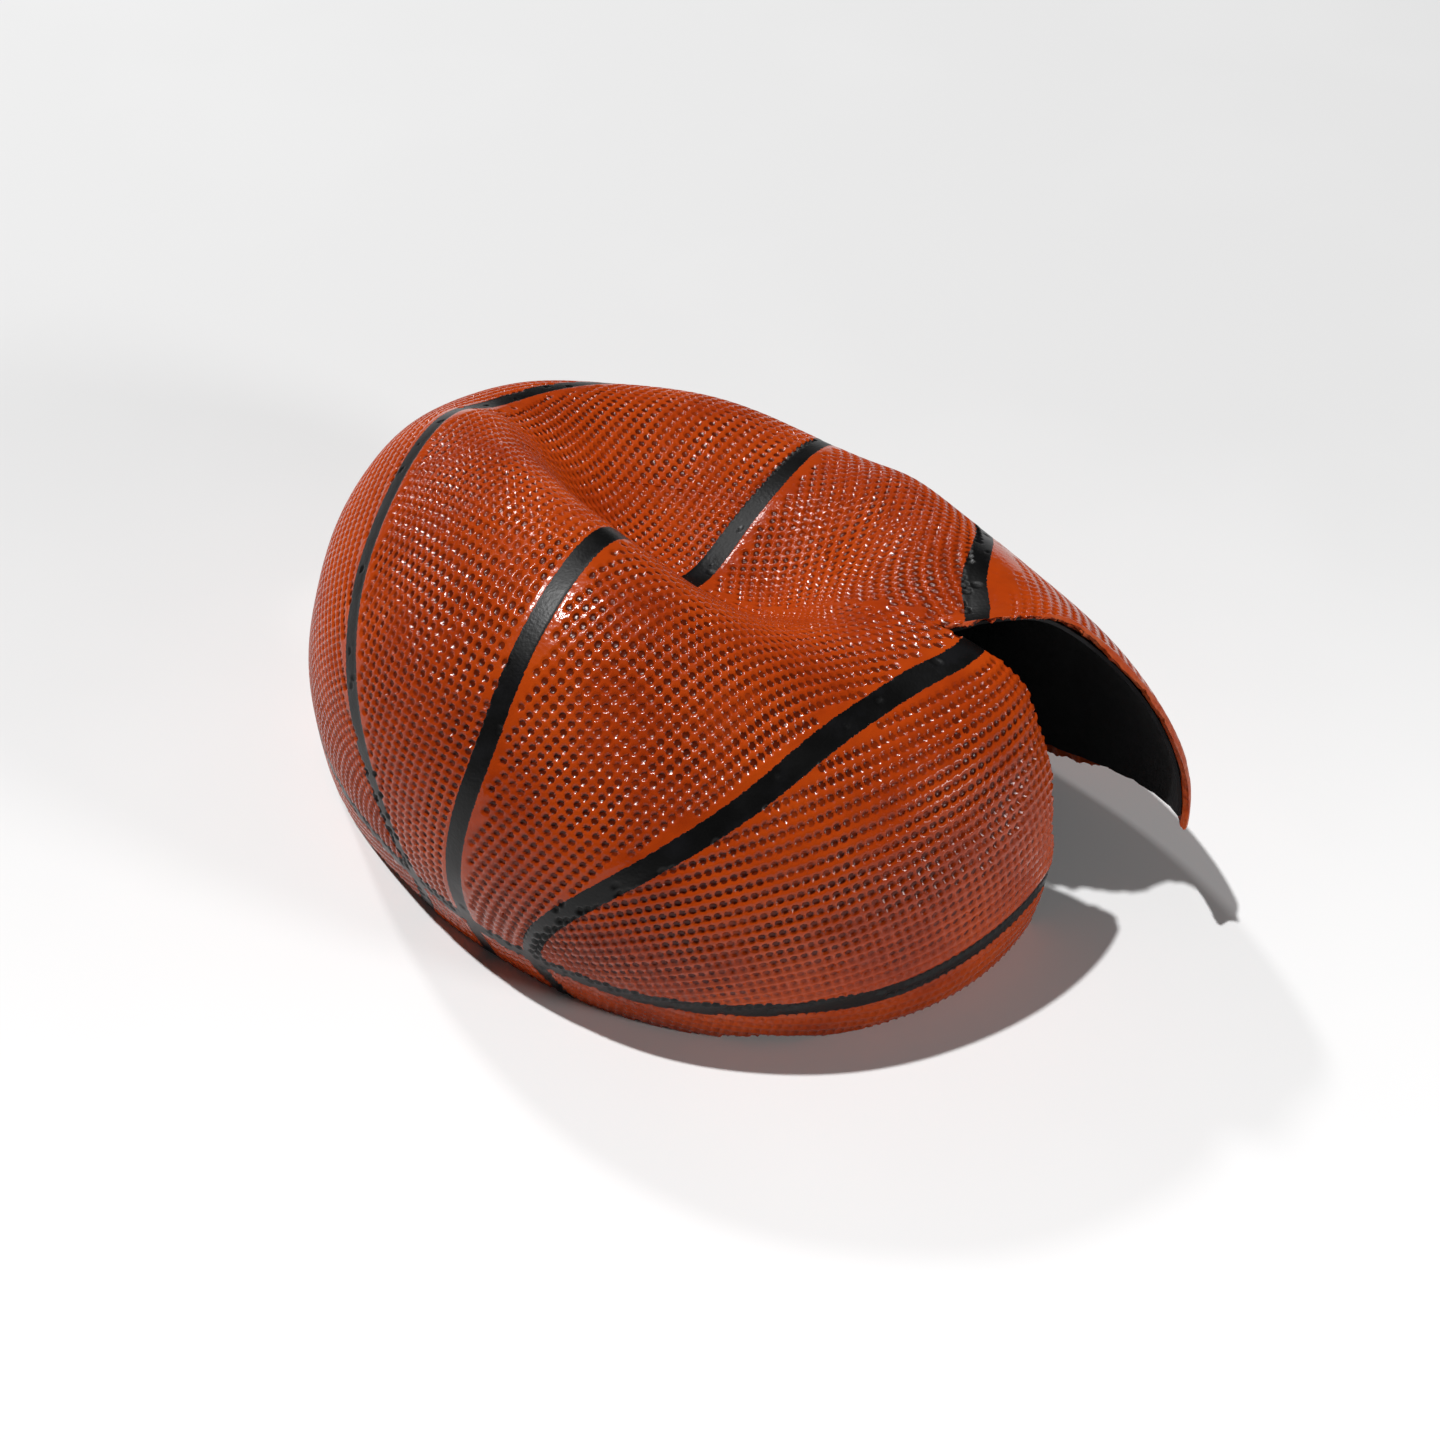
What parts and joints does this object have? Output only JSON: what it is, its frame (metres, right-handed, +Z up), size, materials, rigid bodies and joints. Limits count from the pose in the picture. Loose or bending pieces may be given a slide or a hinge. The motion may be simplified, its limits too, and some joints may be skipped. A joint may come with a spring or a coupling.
{
  "type": "deflated basketball",
  "caption": "Torn-open upper half of a dead rubber basketball, sunk in along a fold, black seam stripes, standing on its ragged rim.",
  "frame": {"origin": "on the floor, under the middle of the part's box", "axes": "+Z up; the tear opens towards +X, the high front bulge faces -Y"},
  "size_m": [0.2738, 0.2318, 0.1267],
  "materials": {
    "cover_rubber": "glossy pebbled rubber with painted black stripes",
    "lining_rubber": "matt black"
  },
  "bodies": {
    "root": {"cover": "cover_rubber", "lining": "lining_rubber"}
  },
  "joints": []
}
